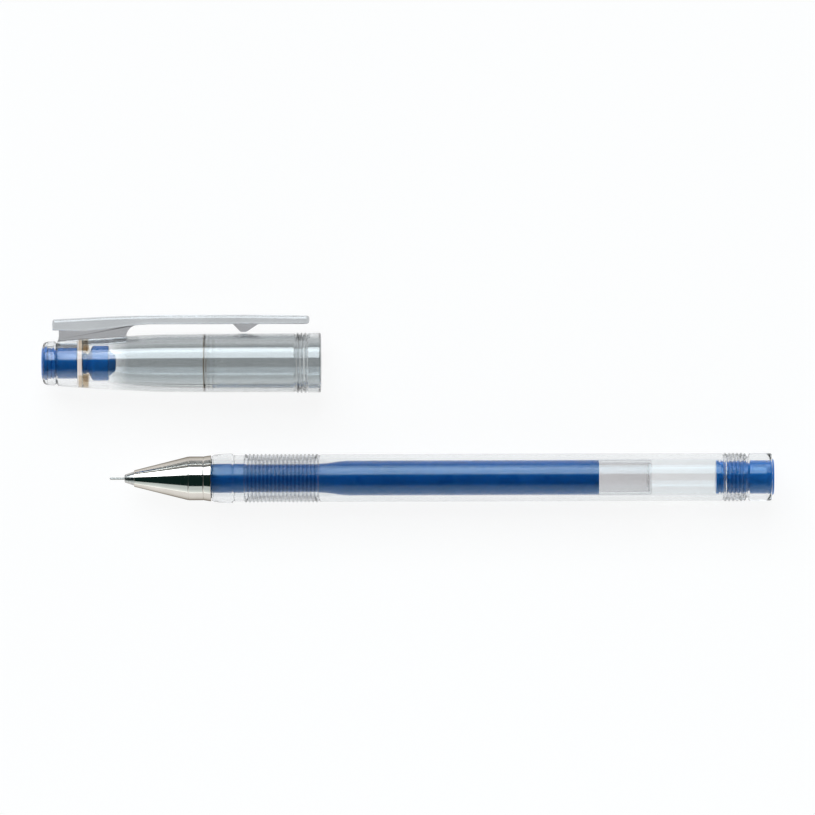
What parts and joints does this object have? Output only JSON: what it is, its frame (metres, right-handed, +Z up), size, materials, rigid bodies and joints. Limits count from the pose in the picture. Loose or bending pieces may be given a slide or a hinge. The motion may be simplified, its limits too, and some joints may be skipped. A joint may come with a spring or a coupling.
{
  "type": "gel pen",
  "caption": "Needle-tip gel pen with a clear ribbed barrel, metal nose cone and blue refill, its clip cap laid beside it.",
  "frame": {"origin": "on the surface the pen and its cap lie on, under the middle of the whole object", "axes": "+X runs along the pen from its writing tip to its tail, +Y from the pen to the cap beside it, +Z up"},
  "size_m": [0.1428, 0.0366, 0.0118],
  "materials": {
    "clear_barrel": "polished clear",
    "clear_cap": "polished clear, faintly grey",
    "blue_plastic": "glossy",
    "refill_plastic": "slightly frosted clear",
    "gel_ink": "wet",
    "grease": "wet, translucent",
    "chrome": "polished nickel",
    "tip_steel": "fine turned"
  },
  "bodies": {
    "barrel": {"barrel": "clear_barrel", "tail_plug": "blue_plastic"},
    "refill": {"refill_tube": "refill_plastic", "tip_joint": "refill_plastic", "tip_holder": "tip_steel", "needle_pipe": "tip_steel", "writing_ball": "tip_steel", "ink_column": "gel_ink"},
    "cone": {"nose_cone": "chrome"},
    "follower": {"grease_follower": "grease"},
    "cap": {"cap_shell": "clear_cap", "crown_plug": "blue_plastic", "inner_seal": "blue_plastic"},
    "clip": {"clip_arm": "clear_cap"}
  },
  "joints": [
    {"name": "refill_pull", "type": "slide", "parent": "barrel", "child": "refill", "axis": [-1, 0, 0], "range_m": [0, 0.095]},
    {"name": "cone_turn", "type": "hinge", "parent": "refill", "child": "cone", "pos_m": [-0.04312, -0.01352, 0.00481], "axis": [1, 0, 0], "continuous": true},
    {"name": "follower_travel", "type": "slide", "parent": "refill", "child": "follower", "axis": [-1, 0, 0], "range_m": [0, 0.048], "deforming": ["ink_column"]},
    {"name": "cap_pull", "type": "slide", "parent": "barrel", "child": "cap", "axis": [-1, 0, 0], "range_m": [-0.00306, 0.045]},
    {"name": "clip_flex", "type": "hinge", "parent": "cap", "child": "clip", "pos_m": [-0.05248, 0.01732, 0.0059], "axis": [0, 0, 1], "range_deg": [0, 4], "stiffness_Nm_per_rad": 0.5}
  ]
}
